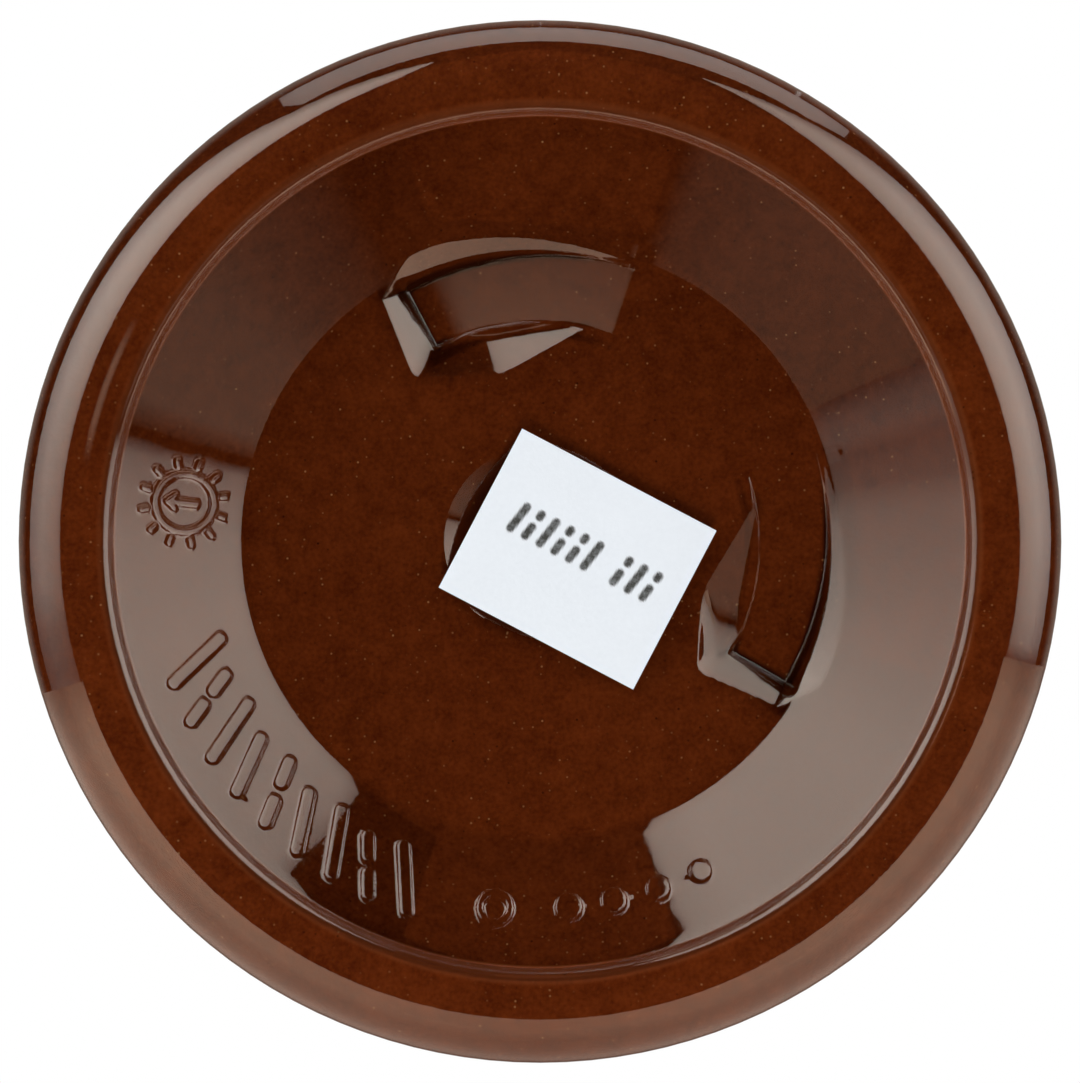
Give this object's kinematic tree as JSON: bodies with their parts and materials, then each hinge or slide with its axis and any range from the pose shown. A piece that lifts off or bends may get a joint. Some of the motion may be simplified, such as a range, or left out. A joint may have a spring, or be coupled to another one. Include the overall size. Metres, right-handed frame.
{
  "type": "sunflower seed butter jar",
  "caption": "Round clear jar filled with brown sunflower seed butter, with a coned base, ramped index pockets, ribbed screw lid and a paper sticker under the base.",
  "frame": {"origin": "centre of the standing ring, on the surface the jar stands on", "axes": "+Z up along the jar's axis from the base to the lid; seen from below with -Y up, +X is to the right"},
  "size_m": [0.083, 0.083, 0.1046],
  "materials": {
    "jar_wall": "clear gloss",
    "butter": "smooth paste with fine specks",
    "lid": "satin",
    "sticker": "matte"
  },
  "bodies": {
    "root": {"jar": "jar_wall", "butter": "butter", "lid": "lid", "sticker": "sticker"}
  },
  "joints": []
}
